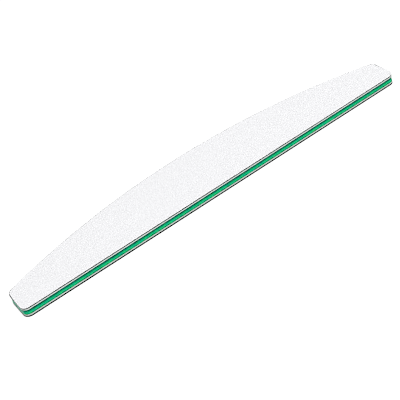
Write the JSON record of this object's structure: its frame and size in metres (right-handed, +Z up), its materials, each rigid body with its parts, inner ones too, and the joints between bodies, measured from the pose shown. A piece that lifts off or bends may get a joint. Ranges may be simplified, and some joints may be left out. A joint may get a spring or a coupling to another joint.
{
  "type": "emery board",
  "caption": "Half-moon emery board for shaping nails: a straight edge, an arched edge, blunt rounded ends, and abrasive sheets on both faces of a cushioned plastic core.",
  "frame": {"origin": "middle of the outline's length and width, on the lower filing face that the board rests on", "axes": "+X along the board's length, +Y from the straight edge towards the arched edge, +Z up through the thickness to the upper filing face"},
  "size_m": [0.178, 0.028, 0.0044],
  "materials": {
    "core_plastic": "die-cut green polystyrene sheet, satin",
    "glue_film": "clear to milky pressure-sensitive adhesive film, slightly glossy",
    "cushion_foam": "white closed-cell EVA foam, matte, fine pores on the cut edge",
    "backing_paper": "white latex-treated kraft paper, matte, faintly fibrous",
    "anchor_resin": "dark phenolic resin, satin",
    "mineral_grain": "dark silicon carbide grain, sharp and glinting",
    "top_coat": "white zinc stearate anti-clog coat over the grain, matte, finely speckled"
  },
  "bodies": {
    "root": {"core_board": "core_plastic", "upper_core_glue": "glue_film", "upper_foam_cushion": "cushion_foam", "upper_sheet_glue": "glue_film", "upper_backing_paper": "backing_paper", "upper_anchor_resin": "anchor_resin", "upper_grain_layer": "mineral_grain", "upper_top_coat": "top_coat", "lower_core_glue": "glue_film", "lower_foam_cushion": "cushion_foam", "lower_sheet_glue": "glue_film", "lower_backing_paper": "backing_paper", "lower_anchor_resin": "anchor_resin", "lower_grain_layer": "mineral_grain", "lower_top_coat": "top_coat"}
  },
  "joints": []
}
